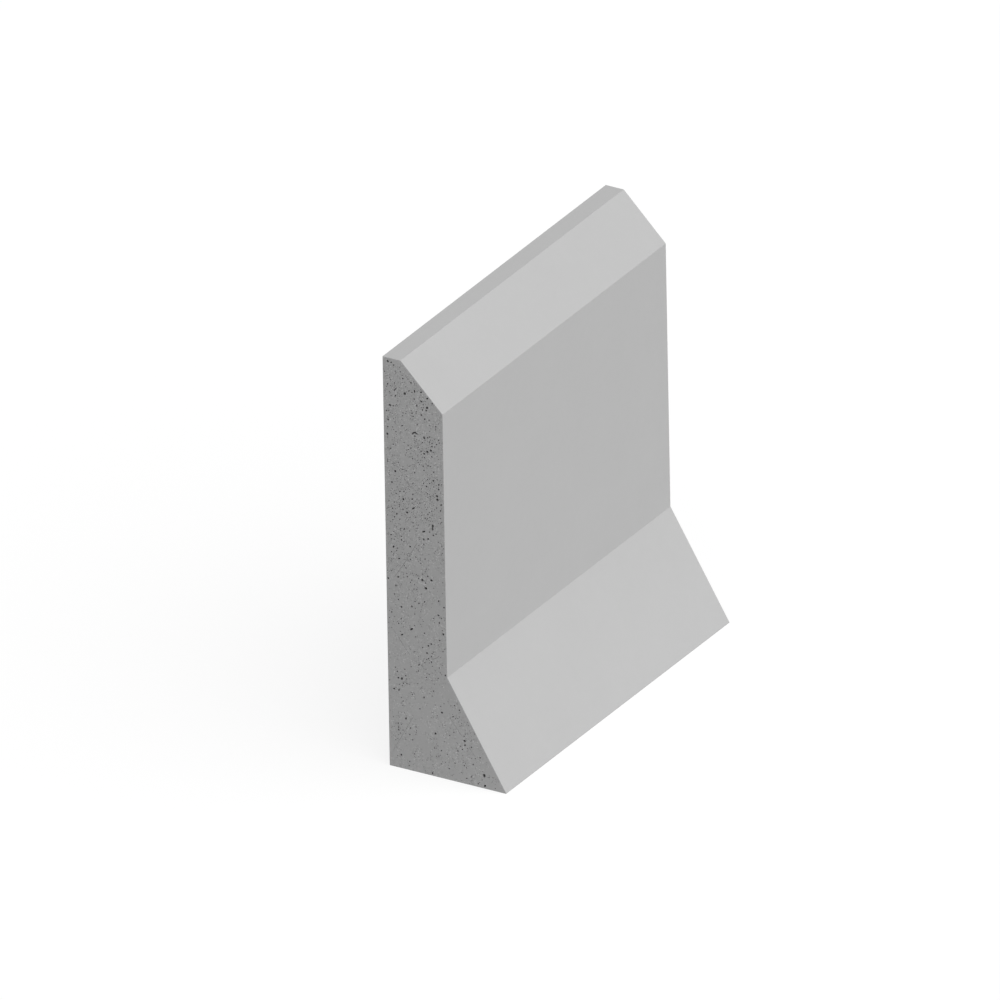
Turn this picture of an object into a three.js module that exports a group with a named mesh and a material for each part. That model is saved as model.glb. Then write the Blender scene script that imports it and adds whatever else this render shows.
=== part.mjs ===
// Concrete kerb stone with a splayed foot, in millimetres.
//
// A solid precast block of one constant section. The back is plumb, to stand against a wall. The
// upright front face ends at the top in a long bevel that leaves only a narrow flat crest, and at
// the bottom in a foot that slopes out to a toe. All edges are eased, as a mould leaves them.
//
// Frame: X runs along the kerb line, the toe points to -Y, the back faces +Y and Z is up. The
// origin is the middle of the bedding face. The section is drawn in the Y-Z plane and swept along X.
import * as THREE from "three";

// Driving dimensions. Section sizes are taken to the corners as they would be if they were sharp.
const LENGTH = 385;
const HEIGHT = 400;
const STEM_THICKNESS = 60.5; // back face to upright front face
const BEVEL_RUN = 42; // how far the top bevel cuts in from the front face
const BEVEL_DROP = 43; // how far it comes down from the crest
const FOOT_PROJECTION = 58.5; // front face to toe
const FOOT_HEIGHT = 100; // bedding face to the crease where the foot begins
const ARRIS_RADIUS = 0.5; // eased edges and crease that run along the kerb
const END_ARRIS_RADIUS = 0.4; // eased edges round the two end faces, under ARRIS_RADIUS

const ARC_SAMPLES = 2; // an arc gets twice as many segments
const END_ARRIS_SEGMENTS = 2;

const CONCRETE = { color: 0xb9b9b8, roughness: 0.85, metalness: 0 };

// Corners of the section, from the bottom of the back, as (y, z) points.
function sectionCorners() {
  const crestWidth = STEM_THICKNESS - BEVEL_RUN;
  return [
    new THREE.Vector2(0, 0),
    new THREE.Vector2(0, HEIGHT),
    new THREE.Vector2(-crestWidth, HEIGHT),
    new THREE.Vector2(-STEM_THICKNESS, HEIGHT - BEVEL_DROP),
    new THREE.Vector2(-STEM_THICKNESS, FOOT_HEIGHT),
    new THREE.Vector2(-STEM_THICKNESS - FOOT_PROJECTION, 0),
  ];
}

// The arc of a radius that eases the corner between two straight edges, on either side of them.
function easedCorner(before, corner, after, radius) {
  const incoming = corner.clone().sub(before).normalize();
  const outgoing = after.clone().sub(corner).normalize();
  const turn = Math.atan2(incoming.cross(outgoing), incoming.dot(outgoing));
  const side = Math.sign(turn);
  const setback = radius * Math.tan(Math.abs(turn) / 2);
  const start = corner.clone().addScaledVector(incoming, -setback);
  const inward = new THREE.Vector2(-incoming.y, incoming.x).multiplyScalar(side);
  const centre = start.clone().addScaledVector(inward, radius);
  const startAngle = Math.atan2(start.y - centre.y, start.x - centre.x);
  return { centre, startAngle, endAngle: startAngle + turn, clockwise: turn < 0 };
}

// The closed section, with straight edges between its eased corners.
function easedSection(corners, radius) {
  const shape = new THREE.Shape();
  corners.forEach((corner, i) => {
    const before = corners.at(i - 1);
    const after = corners[(i + 1) % corners.length];
    const arc = easedCorner(before, corner, after, radius);
    shape.absarc(arc.centre.x, arc.centre.y, radius, arc.startAngle, arc.endAngle, arc.clockwise);
  });
  shape.closePath();
  return shape;
}

// The section swept along the kerb, with its end edges eased inside the full length.
function kerbGeometry() {
  const geometry = new THREE.ExtrudeGeometry(easedSection(sectionCorners(), ARRIS_RADIUS), {
    depth: LENGTH - 2 * END_ARRIS_RADIUS,
    curveSegments: ARC_SAMPLES,
    bevelEnabled: true,
    bevelThickness: END_ARRIS_RADIUS,
    bevelSize: END_ARRIS_RADIUS,
    bevelOffset: -END_ARRIS_RADIUS,
    bevelSegments: END_ARRIS_SEGMENTS,
  });
  geometry.computeBoundingBox();
  const { min, max } = geometry.boundingBox;
  return geometry.translate(-(min.x + max.x) / 2, -min.y, -(min.z + max.z) / 2);
}

const kerbStone = new THREE.Mesh(kerbGeometry(), new THREE.MeshStandardMaterial(CONCRETE));
kerbStone.name = "kerb_stone";
kerbStone.rotation.set(Math.PI / 2, Math.PI / 2, 0); // drawn x, y and depth become Y, Z and X

const kerb = new THREE.Group();
kerb.add(kerbStone);

export default kerb;
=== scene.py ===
"""Concrete kerb stone: finish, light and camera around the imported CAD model.

The kerb is one cast piece. Its mesh starts from the CAD solid, so every outline is the solid's own.
The faces that have open pores are then triangulated again round real hollows: the two end faces,
which are open-textured, and the back and the bed, which have a few blowholes.
"""
import math
import random
from collections import namedtuple

import bmesh
import bpy
from mathutils import Matrix, Vector
from mathutils.geometry import delaunay_2d_cdt


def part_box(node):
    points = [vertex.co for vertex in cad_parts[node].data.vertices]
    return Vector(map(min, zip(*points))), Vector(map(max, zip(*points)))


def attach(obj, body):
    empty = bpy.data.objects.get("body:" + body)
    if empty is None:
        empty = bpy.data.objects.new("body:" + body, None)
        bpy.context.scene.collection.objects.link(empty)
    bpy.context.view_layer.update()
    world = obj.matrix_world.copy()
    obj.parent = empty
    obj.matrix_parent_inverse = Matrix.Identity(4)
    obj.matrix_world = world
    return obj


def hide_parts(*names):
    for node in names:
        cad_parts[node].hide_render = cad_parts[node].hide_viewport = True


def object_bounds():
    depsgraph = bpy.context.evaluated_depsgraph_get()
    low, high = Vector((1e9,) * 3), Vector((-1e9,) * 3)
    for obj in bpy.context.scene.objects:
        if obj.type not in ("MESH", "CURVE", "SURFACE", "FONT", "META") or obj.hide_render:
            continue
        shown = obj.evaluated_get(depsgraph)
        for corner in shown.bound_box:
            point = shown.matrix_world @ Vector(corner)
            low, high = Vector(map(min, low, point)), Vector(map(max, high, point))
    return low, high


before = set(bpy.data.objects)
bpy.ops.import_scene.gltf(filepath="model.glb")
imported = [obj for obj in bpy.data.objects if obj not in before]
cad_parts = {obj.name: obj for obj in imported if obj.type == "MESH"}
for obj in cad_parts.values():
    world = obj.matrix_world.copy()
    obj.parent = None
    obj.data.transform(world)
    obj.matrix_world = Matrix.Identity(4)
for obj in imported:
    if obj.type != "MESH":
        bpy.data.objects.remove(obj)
cad_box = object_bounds()
BOX_LOW, BOX_HIGH = cad_box
MM = 0.001

# ---------------------------------------------------------------- driving values

# The view: parallel projection, as the photograph's edges show.
VIEW_AZIMUTH = -59.01  # degrees, 0 looks along +Y
VIEW_ELEVATION = 26.365
VIEW_ROLL = -1.021
FRAME_PIXELS = 1000
PIXELS_PER_METRE = 1141.76
BOX_CENTRE_PIXEL = (555.96, 489.39)  # where the middle of the kerb's box shows
CAMERA_DISTANCE = 3.0

# Greys are linear, and neutral as the photograph's are.
FORMED_GREY = 0.48  # cement skin that the mould left
OPEN_GREY = 0.386  # open-textured ends, where they are darkest
HOLLOW_PAINTED_SHADE = 0.06  # painted shade inside pores and cracks

# Patterns of the concrete: the size of the blotches in millimetres, and the octaves of the noise.
NOISES = {"clouds": (60, 3), "mottle": (9, 3), "grain": (1.3, 2), "sand": (0.45, 2)}
PATCHES = (7, 2)  # the patches of an end that are sandy and speckled
PATCH_CONTRAST = 2.2
PATCH_COVERAGE = 0.35  # at the ground
PATCH_COVERAGE_RISE = 0.4  # what the full height adds to it
SANDINESS = (0.1, 1.25)  # outside the patches, and within them
GRAIN_WEIGHT = 2.0  # in the sandiness, where the sand's is 1

# Specks: small round spots in the cells of a pattern.
SPECK_SPACING = 1.5  # mm
SPECK_FILL = 1.4  # strength in the middle of a speck, before it is cut off at 1
SPECK_FADE = 2.6  # loss of strength per spacing, outwards
DARK_SPECKS = 0.5  # share of the cells
LIGHT_SPECKS = 0.3

# How an end pales with height, and with painted light from the floor near the ground.
DARKEST_SHARE = 0.55  # of the height, where an end is darkest
PAINTED_FLOOR_LIGHT_REACH = 8.0  # mm over which painted light from the floor pales it towards the ground

# How much each pattern lightens a surface where it is 1, as a share of the grey.
FORMED_STRENGTHS = {"clouds": 0.02, "mottle": 0.012, "sand": 0.03}
OPEN_STRENGTHS = {
    # ground: painted light from the floor, which pales an end close to the ground
    "paling": 0.28, "ground": 0.09, "clouds": 0.03, "mottle": 0.05,
    "sandiness": 0.09, "dark_specks": -0.5, "light_specks": 0.4,
}

# Relief that is too fine to model: how much of the sandiness shows in it, and its size.
RELIEF = (0.1, 0.4)  # on the formed skin, and on the open texture
RELIEF_DEPTH = 0.08  # mm
RELIEF_STRENGTH = 0.6

CONCRETE_ROUGHNESS = 0.85
ROUGHNESS_SWING = 0.08
CONCRETE_SPECULAR = 0.3

# Light levels, as a share of the light at which a white surface renders white.
WORLD_LEVEL = 0.41
KEY_LEVEL = 0.72
KEY_AZIMUTH = -12.0
KEY_ELEVATION = 50.0
KEY_SOFTNESS = 90.0  # degrees that the key light spans
KEY_DISTANCE = 3.0  # clear of the kerb; the key lights the same from any distance
FLOOR_GREY = 0.60
FLOOR_SEEN_GREY = 0.22  # how much of its shading the camera sees; white light makes up the rest
FLOOR_SEEN_GLOW = 0.80
FLOOR_SIZE = 12.0

# Hollows. Sizes are in millimetres, and pairs are the least and the most.
RIM_CLEARANCE = 0.12  # solid concrete left between hollows, and to the edge of the face
RIM_SIDES = (5, 16)
POINT_SIDES = 4  # sides for a pore of no size
SIDES_PER_MM = 3.2  # what each millimetre of the longer axis adds
PORE_WAVES = (2, 3, 5)  # counts of the waves that make a rim wobbly
PORE_WOBBLE = 0.035  # most that one of them adds to the radius, as a share
PORE_ROOM = 1.08  # of half the longer axis, kept free for the wobbly rim
PORE_DEPTH = (0.55, 0.8)  # of the shorter axis
PORE_SPREAD = 0.45  # of the natural logarithm of a random pore's width
PORE_STRETCH = (1.0, 1.6)  # a random pore's length for its width
PORE_LEAN = (35, 25)  # a random pore's lean from upright in degrees: the mean and the spread
COMPANY_REACH = (0.9, 3.0)  # from a pore to the middle of one beside it

# Rings of a pore's bowl below its rim: share of the rim's size, share of the depth, painted shade.
SMALL_BOWL = [(0.72, 0.7, 0.9)]
LARGE_BOWL = [(0.86, 0.45, 0.75), (0.52, 0.9, 1.0)]
LARGE_BOWL_SIDES = 9  # a rim with this many sides or more gets the large bowl

# Shoulder of a groove, between its rim and its bottom line.
SHOULDER_INSET = 0.2  # of half the width
SHOULDER_DEPTH = 0.5  # of the depth
SHOULDER_PAINTED_SHADE = 0.8  # painted shade on the shoulder, as a share of the bottom's

# Random pores of a face: the seed, how many, their median and largest width, and the share of them
# that lie close beside another. The near end's are strewn between its landmark pores, with the seed
# out of 64 whose crowds came closest to the photograph's by measurement.
Strewn = namedtuple("Strewn", "seed count median largest company")
NEAR_END_PORES = Strewn(48, 2300, 0.65, 1.35, 0.55)
FAR_END_PORES = Strewn(4, 2050, 0.67, 2.6, 0.55)
BACK_BLOWHOLES = Strewn(5, 170, 0.8, 2.2, 0.0)
BED_BLOWHOLES = Strewn(6, 60, 0.8, 2.2, 0.0)
LANDMARK_SEED = 35  # for the wobble and depth of the landmark pores

# The pores that stand out on the near end, placed one by one and then corrected from measurements of the
# photograph: mm from the back, height, width, length, and lean in degrees from upright.
LANDMARK_PORES = [
    (5.3, 396.1, 2.5, 2.5, 30), (8.8, 395.9, 1.3, 2.2, 35), (20.3, 382.8, 2.1, 1.6, -15),
    (28.6, 380.6, 2.0, 1.7, -20), (4.8, 374.0, 1.3, 2.2, 15), (32.1, 373.0, 1.8, 3.2, 0),
    (38.8, 373.6, 1.7, 2.8, 45), (22.0, 368.4, 2.8, 3.1, 30), (44.9, 369.0, 1.7, 2.8, 60),
    (12.4, 363.9, 1.3, 3.0, 25), (31.6, 365.3, 1.3, 2.5, 0), (38.9, 364.8, 2.5, 2.1, 0),
    (34.2, 359.6, 1.4, 2.5, 15), (44.6, 359.8, 2.5, 3.1, 40), (43.6, 357.0, 1.9, 1.9, 0),
    (6.7, 353.6, 3.3, 1.9, -10), (38.8, 351.4, 2.0, 2.1, 0), (29.2, 351.0, 1.5, 2.0, 45),
    (42.1, 348.2, 1.4, 2.4, 30), (4.6, 339.1, 2.1, 1.7, 0), (18.9, 336.4, 1.1, 3.0, 60),
    (44.8, 330.7, 1.6, 2.0, 0), (31.6, 329.1, 1.7, 1.8, 0), (41.1, 329.7, 2.3, 3.0, -20),
    (46.6, 326.9, 1.4, 1.6, 40), (3.6, 324.8, 2.3, 2.6, 20), (48.9, 323.0, 1.9, 1.9, 0),
    (47.6, 318.8, 2.8, 2.5, 0), (44.1, 316.6, 2.7, 2.7, 20), (37.8, 315.6, 1.8, 1.5, 0),
    (40.8, 314.0, 2.5, 1.8, -15), (48.6, 312.9, 1.7, 1.9, 0), (10.9, 290.0, 2.4, 2.6, 0),
    (49.8, 289.8, 2.1, 2.1, 20), (55.2, 287.0, 1.6, 2.2, 30), (42.7, 282.5, 1.9, 1.8, 0),
    (55.1, 282.5, 2.1, 1.9, 0), (7.3, 278.4, 1.8, 2.4, 45), (53.1, 275.5, 2.8, 2.4, -10),
    (53.5, 272.0, 2.7, 2.9, 40), (57.2, 267.8, 1.7, 2.4, 45), (18.7, 264.4, 2.3, 2.6, 10),
    (27.8, 266.7, 1.3, 2.5, 60), (28.8, 257.9, 1.5, 4.3, 50), (22.4, 252.2, 2.7, 1.8, -12),
    (11.8, 248.6, 1.8, 2.3, 30), (38.9, 237.5, 1.9, 3.8, 55), (48.7, 236.2, 2.1, 1.7, 0),
    (19.1, 235.4, 1.3, 2.4, 35), (43.4, 231.4, 1.8, 2.5, 30), (38.8, 229.8, 1.9, 2.4, 30),
    (5.6, 226.7, 2.2, 1.3, -10), (16.2, 224.1, 1.8, 1.8, 0), (24.8, 219.5, 2.3, 1.6, 0),
    (7.9, 215.5, 1.8, 2.9, 35), (13.4, 205.2, 2.5, 1.6, -20), (30.5, 210.6, 1.4, 1.7, 0),
    (42.3, 194.5, 1.7, 1.8, 0), (45.9, 191.5, 2.9, 2.4, -10), (36.7, 189.5, 2.4, 3.0, 40),
    (12.1, 187.0, 2.2, 1.9, -20), (40.0, 182.4, 3.3, 2.6, -15), (1.9, 183.3, 2.0, 2.3, 0),
    (9.6, 177.9, 1.5, 2.4, 0), (53.0, 172.9, 1.6, 2.3, 10), (58.3, 167.7, 1.8, 1.9, 0),
    (32.8, 165.9, 1.7, 1.7, 0), (25.5, 161.2, 1.9, 2.1, 0), (14.9, 158.2, 2.3, 2.0, -10),
    (52.4, 158.9, 2.5, 1.9, 0), (53.3, 151.6, 1.8, 2.0, 0), (57.1, 141.4, 2.1, 2.4, 20),
    (24.7, 138.8, 2.0, 4.2, 52), (14.9, 131.1, 1.6, 3.1, 60), (44.6, 129.0, 2.1, 1.7, 0),
    (41.7, 126.5, 1.7, 2.2, 35), (40.2, 119.1, 2.0, 2.0, 0), (44.5, 111.3, 1.5, 1.9, 0),
    (31.8, 105.7, 1.2, 3.0, 30), (58.4, 101.6, 1.8, 2.0, 0), (13.9, 87.9, 2.2, 3.2, 30),
    (10.4, 87.9, 1.9, 2.1, 0), (5.9, 76.3, 2.2, 1.8, -10), (10.9, 76.1, 1.5, 2.1, 40),
    (36.3, 74.9, 1.6, 2.4, 0), (54.3, 64.2, 2.5, 2.2, -15), (17.5, 49.8, 1.7, 3.0, 25),
    (47.3, 42.1, 2.0, 2.7, 40), (76.9, 41.8, 2.6, 2.4, 0), (77.2, 37.8, 1.8, 2.5, 45),
    (70.0, 30.5, 1.7, 1.7, 0), (53.1, 26.8, 1.2, 2.0, 30), (9.9, 36.9, 1.9, 1.8, 0),
    (12.1, 13.1, 1.7, 2.5, 0), (96.3, 12.6, 3.0, 3.7, 0), (96.9, 2.6, 2.0, 3.2, 35),
    (43.7, 2.5, 1.7, 2.4, 20),
]

# Where the random pores of the near end crowd: mm from the back, height, spread, weight.
PORE_CROWDS = [
    (15, 375, 9, 4.0), (38, 362, 9, 4.0), (40, 373, 4, 3.0), (11, 350, 9, 3.2), (44, 323, 6, 8.0),
    (13, 334, 8, 2.0), (50, 345, 8, 1.5), (28, 313, 12, 2.4), (50, 283, 9, 3.8), (20, 279, 12, 3.0),
    (11, 253, 8, 6.5), (43, 258, 9, 3.2), (21, 231, 11, 2.6), (12, 207, 9, 1.8), (40, 186, 8, 0.9),
    (8, 188, 7, 1.5), (30, 166, 9, 1.0), (7, 150, 7, 0.9), (57, 155, 5, 0.9), (44, 122, 10, 1.2),
    (11, 132, 8, 0.7), (50, 94, 8, 1.8), (10, 82, 7, 1.0), (72, 68, 6, 1.4), (75, 46, 8, 2.2),
    (8, 48, 8, 1.0), (48, 28, 8, 0.8), (12, 31, 8, 1.0), (68, 16, 13, 0.9), (80, 56, 7, 1.4),
    (22, 96, 8, 1.0), (40, 8, 12, 0.8), (98, 8, 8, 1.0), (57, 228, 5, 1.2), (6, 300, 6, 1.2),
]
CROWD_BASE = 0.3  # weight of the places that no crowd reaches

# The crowds of the far end, at random places.
FAR_CROWD_SPREAD = (6, 14)
FAR_CROWD_WEIGHT = (0.6, 2.8)

# Long pores of the near end that bend or pinch: mm from the back, height and width on their course.
BENT_PORES = [
    [(28.2, 329.3, 0), (29.2, 330.9, 1.6), (30.6, 332.4, 1.4), (32.4, 332.7, 2.2), (33.8, 331.8, 1.8),
     (34.7, 330.1, 0)],
    [(48.2, 247.1, 0), (48.2, 246.3, 1.9), (48.2, 245.0, 2.8), (48.1, 243.6, 1.3), (48.0, 242.2, 2.4),
     (48.0, 241.0, 1.8), (48.0, 240.1, 0)],
    [(10.2, 367.7, 0), (11.4, 369.2, 1.4), (12.6, 370.5, 0.9), (13.6, 371.8, 0.8), (14.2, 372.8, 0)],
]
BENT_PORE_DEPTH = 1.1

# Hairline cracks of the near end: mm from the back and height of one end, of the other, the bow and
# the painted shade in the crack.
HAIRLINES = [
    (32.4, 225.3, 7.3, 184.6, -0.6, 0.55), (9.7, 300.3, 28.0, 275.9, 0, 0.9),
    (50.6, 277.8, 44.6, 270.2, -0.4, 0.7), (5.6, 135.4, 23.5, 111.8, 0, 0.5),
    (44.2, 113.6, 53.6, 120.2, 0.7, 1.0), (25, 53, 3, 13.8, 0, 0.2),
    (61.6, 61.9, 75.0, 45.4, 0, 1.0), (80.2, 39.0, 88.2, 28.2, 0.3, 0.7),
]
HAIRLINE_WIDTH = 0.3
HAIRLINE_DEPTH = 0.35
HAIRLINE_FADE = 2.0  # along the crack, from nothing at each end to its full width
HAIRLINE_FADE_SHARE = 0.3  # of a short crack's length, at most
HAIRLINE_MIDDLE = (0.4, 0.6)  # where the crack bends, as shares of its length

# Reading the CAD solid, and cutting its faces.
WELD_DISTANCE = 0.001  # mm
FLAT_WITHIN = 0.1  # degrees between triangles of one flat face
FACING = 0.999  # cosine of the angle within which a face looks the plane's way
LARGEST_ARRIS_FACET = 0.002  # square metres; a larger face is one of the kerb's flat sides
CUT_TOLERANCE = 1e-7  # mm
WITHIN_LOOPS = 1  # kind of triangulation: what lies outside every loop is left out


# ---------------------------------------------------------------- flat faces

class Plane:
    """A flat face's own axes, in millimetres: across and up lie in it, and depth goes into it."""

    def __init__(self, origin, across, up):
        self.origin, self.across, self.up = Vector(origin), Vector(across), Vector(up)
        self.normal = self.across.cross(self.up)

    def flat(self, point):
        away = (point - self.origin) / MM
        return Vector((away.dot(self.across), away.dot(self.up)))

    def solid(self, point, depth=0.0):
        return self.origin + (self.across * point[0] + self.up * point[1] - self.normal * depth) * MM


def whole_faces(node):
    """The node's solid, with each flat face as one polygon."""
    bm = bmesh.new()
    bm.from_mesh(node.data)
    bmesh.ops.remove_doubles(bm, verts=bm.verts, dist=WELD_DISTANCE * MM)
    flat = math.radians(FLAT_WITHIN)
    bmesh.ops.dissolve_limit(bm, angle_limit=flat, verts=bm.verts, edges=bm.edges)
    return bm


def face_on(bm, plane):
    """The largest polygon that faces the plane's way."""
    facing = [f for f in bm.faces if f.normal.dot(plane.normal) > FACING]
    return max(facing, key=lambda f: f.calc_area())


def is_inside(point, outline):
    """True if the point lies within the closed outline."""
    crossings = 0
    for a, b in zip(outline, outline[1:] + outline[:1]):
        if (a.y > point.y) != (b.y > point.y):
            crossings += point.x < a.x + (point.y - a.y) * (b.x - a.x) / (b.y - a.y)
    return crossings % 2 == 1


def distance_to_stretch(point, a, b):
    """From the point to the nearest place on the straight stretch from a to b."""
    along = b - a
    share = min(max((point - a).dot(along) / along.length_squared, 0.0), 1.0)
    return (point - a - along * share).length


# ---------------------------------------------------------------- hollows

class Pore:
    """A bubble that the face cuts open: a wobbly oval rim, and a bowl under it."""

    def __init__(self, rng, centre, width, length, lean):
        self.centre = Vector(centre)
        longest = max(width, length)
        self.reach = longest / 2 * PORE_ROOM
        self.depth = min(width, length) * rng.uniform(*PORE_DEPTH)
        waves = [(k, rng.uniform(0, PORE_WOBBLE), rng.uniform(0, 2 * math.pi)) for k in PORE_WAVES]
        fewest, most = RIM_SIDES
        sides = min(max(round(POINT_SIDES + SIDES_PER_MM * longest), fewest), most)
        turn = Matrix.Rotation(-math.radians(lean), 2)
        self.rim = []
        for i in range(sides):
            angle = 2 * math.pi * i / sides
            swell = 1 + sum(size * math.cos(k * angle + phase) for k, size, phase in waves)
            oval = Vector((width / 2 * math.cos(angle), length / 2 * math.sin(angle)))
            self.rim.append(self.centre + turn @ oval * swell)

    def distance(self, point):
        return (self.centre - point).length - self.reach

    def dig(self, rim, vertex, face):
        """Builds the bowl down from the rim's vertices, in rings of painted shade that shrink to its
        bottom.
        """
        bowl = LARGE_BOWL if len(rim) >= LARGE_BOWL_SIDES else SMALL_BOWL
        outer = rim
        for share, depth, painted_shade in bowl:
            inner = [vertex(self.centre.lerp(p, share), self.depth * depth, painted_shade) for p in self.rim]
            for i in range(len(rim)):
                face(outer[i - 1], outer[i], inner[i], inner[i - 1])
            outer = inner
        bottom = vertex(self.centre, self.depth, 1.0)
        for i in range(len(rim)):
            face(outer[i - 1], outer[i], bottom)


class Groove:
    """A hollow along a course of (across, up, width) stations: a bent pore, or a hairline crack.

    It closes to nothing at both ends, so the widths of the end stations don't count.
    """

    def __init__(self, stations, depth, painted_shade):
        self.course = [Vector(station[:2]) for station in stations]
        self.depth, self.painted_shade = depth, painted_shade
        self.middle = self.course[1:-1]
        self.widest = max(station[2] for station in stations[1:-1])
        sides = []
        for before, station, after in zip(self.course, stations[1:], self.course[2:]):
            along = (after - before).normalized()
            sides.append(Vector((along.y, -along.x)) * station[2] / 2)
        self.right = [p + side for p, side in zip(self.middle, sides)]
        self.left = [p - side for p, side in zip(self.middle, sides)]
        self.rim = [self.course[0], *self.right, self.course[-1], *reversed(self.left)]

    def distance(self, point):
        stretches = zip(self.course, self.course[1:])
        return min(distance_to_stretch(point, a, b) for a, b in stretches) - self.widest / 2

    def dig(self, rim, vertex, face):
        """Builds the sides, from each rim over a shoulder down to the bottom line, in painted shade."""
        def shoulder(side):
            inward = [p.lerp(q, SHOULDER_INSET) for p, q in zip(side, self.middle)]
            depth, painted_shade = self.depth * SHOULDER_DEPTH, self.painted_shade * SHOULDER_PAINTED_SHADE
            return [vertex(p, depth, painted_shade) for p in inward]

        count = len(self.middle)
        tip, right, end, left = rim[0], rim[1:count + 1], rim[count + 1], rim[:count + 1:-1]
        bottom = [vertex(p, self.depth, self.painted_shade) for p in self.middle]
        rails = [right, shoulder(self.right), bottom, shoulder(self.left), left]
        for a, b in zip(rails, rails[1:]):
            face(tip, a[0], b[0])
            face(a[-1], end, b[-1])
            for i in range(count - 1):
                face(a[i], a[i + 1], b[i + 1], b[i])


def hairline(x0, y0, x1, y1, bow, painted_shade):
    """The crack between two points, which bows out to its right by so much at half way."""
    start, end = Vector((x0, y0)), Vector((x1, y1))
    along = (end - start).normalized()
    aside = Vector((along.y, -along.x)) * bow
    fade = min(HAIRLINE_FADE / (end - start).length, HAIRLINE_FADE_SHARE)
    stations = []
    for share in (0, fade, *HAIRLINE_MIDDLE, 1 - fade, 1):
        point = start.lerp(end, share) + aside * 4 * share * (1 - share)
        stations.append((point.x, point.y, HAIRLINE_WIDTH))
    return Groove(stations, HAIRLINE_DEPTH, painted_shade)


def crowding(point, crowds):
    """How readily pores lie at a point: the base rate and what each crowd adds."""
    total = CROWD_BASE
    for across, up, spread, weight in crowds:
        away = (point - Vector((across, up))).length_squared
        total += weight * math.exp(-away / (2 * spread * spread))
    return total


def place_by_crowds(rng, outline, crowds):
    """A random point within the outline, more often where the crowds are."""
    low = Vector((min(p.x for p in outline), min(p.y for p in outline)))
    high = Vector((max(p.x for p in outline), max(p.y for p in outline)))
    most = max([crowding(Vector(c[:2]), crowds) for c in crowds], default=CROWD_BASE)
    while True:
        place = Vector((rng.uniform(low.x, high.x), rng.uniform(low.y, high.y)))
        if rng.random() * most < crowding(place, crowds) and is_inside(place, outline):
            return place


def place_beside(rng, pore):
    angle = rng.uniform(0, 2 * math.pi)
    return pore.centre + Vector((math.cos(angle), math.sin(angle))) * rng.uniform(*COMPANY_REACH)


def random_crowds(rng, outline, count):
    """Crowds of pores at random places of a face, in the form of PORE_CROWDS."""
    places = [place_by_crowds(rng, outline, []) for _ in range(count)]
    return [(p.x, p.y, rng.uniform(*FAR_CROWD_SPREAD), rng.uniform(*FAR_CROWD_WEIGHT)) for p in places]


def strew(outline, hollows, strewn, crowds):
    """Adds random pores to the hollows, clear of each other and of the outline."""
    rng = random.Random(strewn.seed)
    edges = list(zip(outline, outline[1:] + outline[:1]))
    pores = []
    while len(pores) < strewn.count:
        if pores and rng.random() < strewn.company:
            centre = place_beside(rng, rng.choice(pores))
        else:
            centre = place_by_crowds(rng, outline, crowds)
        width = min(strewn.median * math.exp(rng.gauss(0, PORE_SPREAD)), strewn.largest)
        length = width * rng.uniform(*PORE_STRETCH)
        pore = Pore(rng, centre, width, length, rng.gauss(*PORE_LEAN))
        room = pore.reach + RIM_CLEARANCE
        if not is_inside(centre, outline):
            continue
        if min(distance_to_stretch(centre, a, b) for a, b in edges) < room:
            continue
        if all(h.distance(centre) > room for h in hollows):
            hollows.append(pore)
            pores.append(pore)


# ---------------------------------------------------------------- the kerb

class KerbSkin:
    """The kerb's mesh while its hollows are cut, with what the material reads from it."""

    def __init__(self, node):
        self.bm = whole_faces(node)
        # hollow: the painted shade that a vertex of a pore or crack carries, 0 at its rim
        self.hollow = self.bm.verts.layers.float.new("hollow")
        self.open_texture = self.bm.verts.layers.float.new("open_texture")
        for face in self.bm.faces:
            face.smooth = face.calc_area() < LARGEST_ARRIS_FACET

    def outline(self, plane):
        return [plane.flat(v.co) for v in face_on(self.bm, plane).verts]

    def cut(self, plane, hollows, open_texture):
        """Puts the hollows into the flat face that lies on the plane."""
        whole = face_on(self.bm, plane)
        vertices = list(whole.verts)
        points = [plane.flat(v.co) for v in vertices]
        loops = [list(range(len(points)))]
        for hollow in hollows:
            loops.append(list(range(len(points), len(points) + len(hollow.rim))))
            points += hollow.rim
        vertices += [self.bm.verts.new(plane.solid(p)) for p in points[len(vertices):]]
        result = delaunay_2d_cdt(points, [], loops, WITHIN_LOOPS, CUT_TOLERANCE, True)
        triangles, loops_round = result[2], result[5]
        self.bm.faces.remove(whole)
        for corners, around in zip(triangles, loops_round):
            if around == [0]:  # within the outline, and in no hollow
                self.bm.faces.new([vertices[i] for i in corners])
        made = []

        def vertex(point, depth, painted_shade):
            new = self.bm.verts.new(plane.solid(point, depth))
            new[self.hollow] = painted_shade
            made.append(new)
            return new

        def face(*corners):
            self.bm.faces.new(corners).smooth = True

        for hollow, loop in zip(hollows, loops[1:]):
            hollow.dig([vertices[i] for i in loop], vertex, face)
        for v in vertices + made:
            v[self.open_texture] = open_texture

    def finished(self, name):
        mesh = bpy.data.meshes.new(name)
        self.bm.normal_update()
        self.bm.to_mesh(mesh)
        self.bm.free()
        piece = bpy.data.objects.new(name, mesh)
        bpy.context.scene.collection.objects.link(piece)
        return piece


def near_end_hollows(outline):
    """The hollows of the end that the photograph shows."""
    rng = random.Random(LANDMARK_SEED)
    hollows = [Pore(rng, row[:2], *row[2:]) for row in LANDMARK_PORES]
    # the bent pores carry full painted shade at their bottoms
    hollows += [Groove(stations, BENT_PORE_DEPTH, 1.0) for stations in BENT_PORES]
    hollows += [hairline(*row) for row in HAIRLINES]
    strew(outline, hollows, NEAR_END_PORES, PORE_CROWDS)
    return hollows


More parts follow.
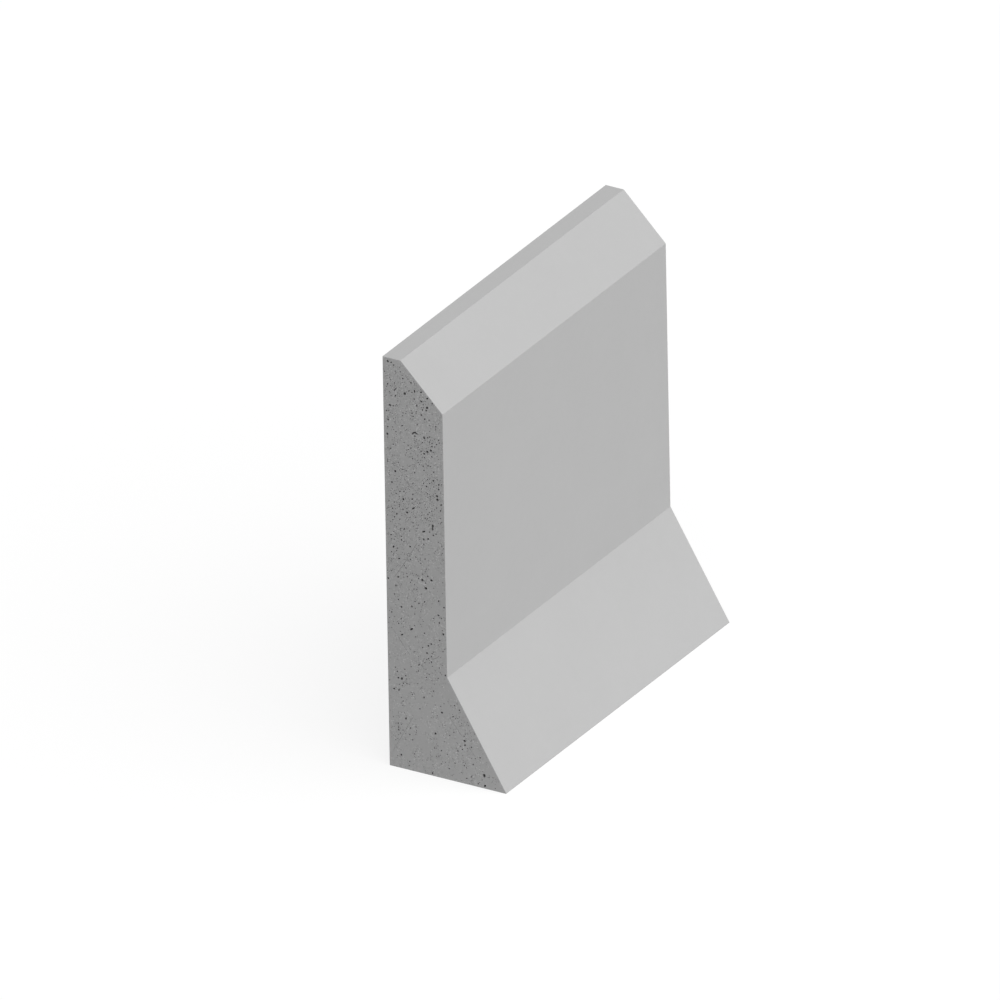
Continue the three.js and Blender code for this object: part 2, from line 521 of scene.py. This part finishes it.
def far_end_hollows(outline):
    """The pores of the hidden end, which crowd as the near end's do but in other places."""
    rng = random.Random(FAR_END_PORES.seed)
    hollows = []
    strew(outline, hollows, FAR_END_PORES, random_crowds(rng, outline, len(PORE_CROWDS)))
    return hollows


def blowholes(outline, strewn):
    """The sparse bubbles of a face that was cast against the mould."""
    hollows = []
    strew(outline, hollows, strewn, [])
    return hollows


def make_kerb():
    low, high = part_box("kerb_stone")
    skin = KerbSkin(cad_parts["kerb_stone"])
    near = Plane((low.x, high.y, low.z), (0, -1, 0), (0, 0, 1))
    far = Plane((high.x, low.y, low.z), (0, 1, 0), (0, 0, 1))
    back = Plane((high.x, high.y, low.z), (-1, 0, 0), (0, 0, 1))
    bed = Plane((low.x, high.y, low.z), (1, 0, 0), (0, -1, 0))
    skin.cut(near, near_end_hollows(skin.outline(near)), 1.0)
    skin.cut(far, far_end_hollows(skin.outline(far)), 1.0)
    skin.cut(back, blowholes(skin.outline(back), BACK_BLOWHOLES), 0.0)
    skin.cut(bed, blowholes(skin.outline(bed), BED_BLOWHOLES), 0.0)
    kerb = skin.finished("kerb_concrete")
    kerb.data.materials.append(concrete())
    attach(kerb, "root")
    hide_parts("kerb_stone")


# ---------------------------------------------------------------- material

class NodeBoard:
    """A material's node tree, with short calls that add a node and wire its inputs."""

    def __init__(self, owner):
        owner.use_nodes = True
        self.tree = owner.node_tree
        self.tree.nodes.clear()

    def add(self, kind, inputs, **settings):
        node = self.tree.nodes.new(kind)
        for name, value in settings.items():
            setattr(node, name, value)
        for key, value in inputs.items():
            if isinstance(value, bpy.types.NodeSocket):
                self.tree.links.new(value, node.inputs[key])
            else:
                node.inputs[key].default_value = value
        return node

    def noise(self, where, size, octaves):
        """A cloudy pattern whose blotches are about the given size in millimetres, from -1 to 1."""
        inputs = {"Vector": where, "Scale": 1 / (size * MM), "Detail": octaves}
        fac = self.add("ShaderNodeTexNoise", inputs).outputs["Fac"]
        return self.math("MULTIPLY_ADD", fac, 2.0, -1.0)

    def specks(self, where):
        """The dark specks and the light ones, from 0 to 1. Each cell has one of them or none."""
        inputs = {"Vector": where, "Scale": 1 / (SPECK_SPACING * MM)}
        cells = self.add("ShaderNodeTexVoronoi", inputs).outputs
        spot = self.math("MULTIPLY_ADD", cells["Distance"], -SPECK_FADE, SPECK_FILL, clamp=True)
        kind = self.add("ShaderNodeSeparateColor", {0: cells["Color"]}).outputs[0]
        dark = self.math("MULTIPLY", spot, self.math("LESS_THAN", kind, DARK_SPECKS))
        light = self.math("MULTIPLY", spot, self.math("GREATER_THAN", kind, 1 - LIGHT_SPECKS))
        return dark, light

    def math(self, operation, *values, clamp=False):
        inputs = dict(enumerate(values))
        return self.add("ShaderNodeMath", inputs, operation=operation, use_clamp=clamp).outputs[0]

    def varied(self, level, patterns, strengths):
        """A grey level that each named pattern makes lighter or darker by its strength."""
        total = 1.0
        for name, strength in strengths.items():
            total = self.math("MULTIPLY_ADD", patterns[name], strength, total)
        return self.math("MULTIPLY", total, level)

    def blend(self, share, first, second):
        inputs = {0: share, 2: first, 3: second}
        return self.add("ShaderNodeMix", inputs, data_type="FLOAT").outputs[0]

    def attribute(self, name):
        return self.add("ShaderNodeAttribute", {}, attribute_name=name).outputs["Fac"]


def paling_and_painted_floor_light(board, height, rise):
    """How an end pales away from its darkest height, and with painted floor light close to the ground.
    """
    from_darkest = board.math("SUBTRACT", rise, DARKEST_SHARE)
    reaches = board.math("DIVIDE", height, -PAINTED_FLOOR_LIGHT_REACH * MM)
    return {
        "paling": board.math("MULTIPLY", from_darkest, from_darkest),
        # painted light from the floor, fading with height above the ground
        "ground": board.math("POWER", math.e, reaches),
    }


def patch_patterns(board, where, rise, grain, sand):
    """The sandy and speckled patches of an end, of which there are more near its top."""
    coverage = board.math("MULTIPLY_ADD", rise, PATCH_COVERAGE_RISE, PATCH_COVERAGE)
    patches = board.noise(where, *PATCHES)
    patches = board.math("MULTIPLY_ADD", patches, PATCH_CONTRAST, coverage, clamp=True)
    outside, within = SANDINESS
    swing = board.math("MULTIPLY_ADD", patches, within - outside, outside)
    coarse = board.math("MULTIPLY_ADD", grain, GRAIN_WEIGHT, sand)
    dark, light = board.specks(where)
    return {
        "sandiness": board.math("MULTIPLY", coarse, swing),
        "dark_specks": board.math("MULTIPLY", dark, patches),
        "light_specks": board.math("MULTIPLY", light, patches),
    }


def concrete():
    """Cast concrete: a smooth pale skin, and open-textured darker ends with pores dark from painted
    shade.
    """
    material = bpy.data.materials.new("cast_concrete")
    board = NodeBoard(material)
    where = board.add("ShaderNodeTexCoord", {}).outputs["Object"]
    height = board.add("ShaderNodeSeparateXYZ", {"Vector": where}).outputs["Z"]
    rise = board.math("DIVIDE", height, BOX_HIGH.z - BOX_LOW.z)
    patterns = {name: board.noise(where, *noise) for name, noise in NOISES.items()}
    patterns |= paling_and_painted_floor_light(board, height, rise)
    patterns |= patch_patterns(board, where, rise, patterns["grain"], patterns["sand"])

    open_texture = board.attribute("open_texture")
    formed = board.varied(FORMED_GREY, patterns, FORMED_STRENGTHS)
    # the open texture includes painted light from the floor, paler near the ground
    opened = board.varied(OPEN_GREY, patterns, OPEN_STRENGTHS)
    surface = board.blend(open_texture, formed, opened)
    # Painted shade in pores and cracks: the colour darkens towards the hollow's bottom.
    colour = board.blend(board.attribute("hollow"), surface, HOLLOW_PAINTED_SHADE)

    relief = board.math("MULTIPLY", patterns["sandiness"], board.blend(open_texture, *RELIEF))
    shape = {"Height": relief, "Strength": RELIEF_STRENGTH, "Distance": RELIEF_DEPTH * MM}
    bump = board.add("ShaderNodeBump", shape)
    roughness = board.math("MULTIPLY_ADD", patterns["grain"], ROUGHNESS_SWING, CONCRETE_ROUGHNESS)
    shader = board.add("ShaderNodeBsdfPrincipled", {
        "Base Color": colour,
        "Roughness": roughness,
        "Specular IOR Level": CONCRETE_SPECULAR,
        "Normal": bump.outputs["Normal"],
    })
    board.add("ShaderNodeOutputMaterial", {"Surface": shader.outputs["BSDF"]})
    return material


# ---------------------------------------------------------------- studio

def neutral(level):
    """A grey as a colour socket takes it."""
    return (level, level, level, 1)


def seen_directly(board):
    """1 for what the camera sees itself, or in gloss or through glass, and 0 for light on the object."""
    path = board.add("ShaderNodeLightPath", {}).outputs
    seen = board.math("MAXIMUM", path["Is Camera Ray"], path["Is Glossy Ray"])
    return board.math("MAXIMUM", seen, path["Is Transmission Ray"])


def make_floor():
    """A plain pale floor that looks white and still shows the kerb's shadow."""
    material = bpy.data.materials.new("floor_pale")
    board = NodeBoard(material)
    lit = board.add("ShaderNodeBsdfDiffuse", {"Color": neutral(FLOOR_GREY)})
    shaded = board.add("ShaderNodeBsdfDiffuse", {"Color": neutral(FLOOR_SEEN_GREY)})
    glow = board.add("ShaderNodeEmission", {"Color": neutral(1), "Strength": FLOOR_SEEN_GLOW})
    shown = board.add("ShaderNodeAddShader", {0: shaded.outputs[0], 1: glow.outputs[0]})
    inputs = {0: seen_directly(board), 1: lit.outputs[0], 2: shown.outputs[0]}
    mixed = board.add("ShaderNodeMixShader", inputs)
    board.add("ShaderNodeOutputMaterial", {"Surface": mixed.outputs[0]})
    bpy.ops.mesh.primitive_plane_add(size=FLOOR_SIZE, location=(0, 0, BOX_LOW.z))
    floor = bpy.context.object
    floor.name = "floor"
    floor.data.materials.append(material)


def make_world():
    """Even light from all round, with a white background."""
    world = bpy.data.worlds.new("studio")
    bpy.context.scene.world = world
    board = NodeBoard(world)
    light = board.add("ShaderNodeBackground", {"Color": neutral(1), "Strength": WORLD_LEVEL})
    white = board.add("ShaderNodeBackground", {"Color": neutral(1), "Strength": 1.0})
    inputs = {0: seen_directly(board), 1: light.outputs[0], 2: white.outputs[0]}
    mixed = board.add("ShaderNodeMixShader", inputs)
    board.add("ShaderNodeOutputWorld", {"Surface": mixed.outputs[0]})


def direction_from(azimuth, elevation):
    """The unit vector from the kerb towards a place round it. Azimuth 0 is on the -Y side."""
    a, e = math.radians(azimuth), math.radians(elevation)
    return Vector((math.sin(a) * math.cos(e), -math.cos(a) * math.cos(e), math.sin(e)))


def make_key_light():
    """One broad light, high on the front's side."""
    light = bpy.data.lights.new("key", "SUN")
    light.energy = KEY_LEVEL * math.pi
    light.angle = math.radians(KEY_SOFTNESS)
    key = bpy.data.objects.new("key", light)
    towards = direction_from(KEY_AZIMUTH, KEY_ELEVATION)
    key.rotation_mode = "QUATERNION"
    key.rotation_quaternion = towards.to_track_quat("Z", "Y")
    key.location = towards * KEY_DISTANCE
    bpy.context.scene.collection.objects.link(key)


def make_camera():
    """A parallel-projection camera that frames the kerb as the photograph does."""
    back = direction_from(VIEW_AZIMUTH, VIEW_ELEVATION)
    level = back.to_track_quat("Z", "Y")
    turned = level @ Matrix.Rotation(math.radians(VIEW_ROLL), 3, "Z").to_quaternion()
    right, up = turned @ Vector((1, 0, 0)), turned @ Vector((0, 1, 0))
    off_centre = Vector(BOX_CENTRE_PIXEL) - Vector((FRAME_PIXELS / 2, FRAME_PIXELS / 2))
    off_centre /= PIXELS_PER_METRE
    aim = (BOX_LOW + BOX_HIGH) / 2 - right * off_centre.x + up * off_centre.y
    data = bpy.data.cameras.new("camera")
    data.type = "ORTHO"
    data.ortho_scale = FRAME_PIXELS / PIXELS_PER_METRE
    camera = bpy.data.objects.new("camera", data)
    camera.rotation_mode = "QUATERNION"
    camera.rotation_quaternion = turned
    camera.location = aim + back * CAMERA_DISTANCE
    bpy.context.scene.collection.objects.link(camera)
    bpy.context.scene.camera = camera


make_camera()
make_world()
make_key_light()
make_floor()
make_kerb()
bpy.context.scene.view_settings.view_transform = "Standard"
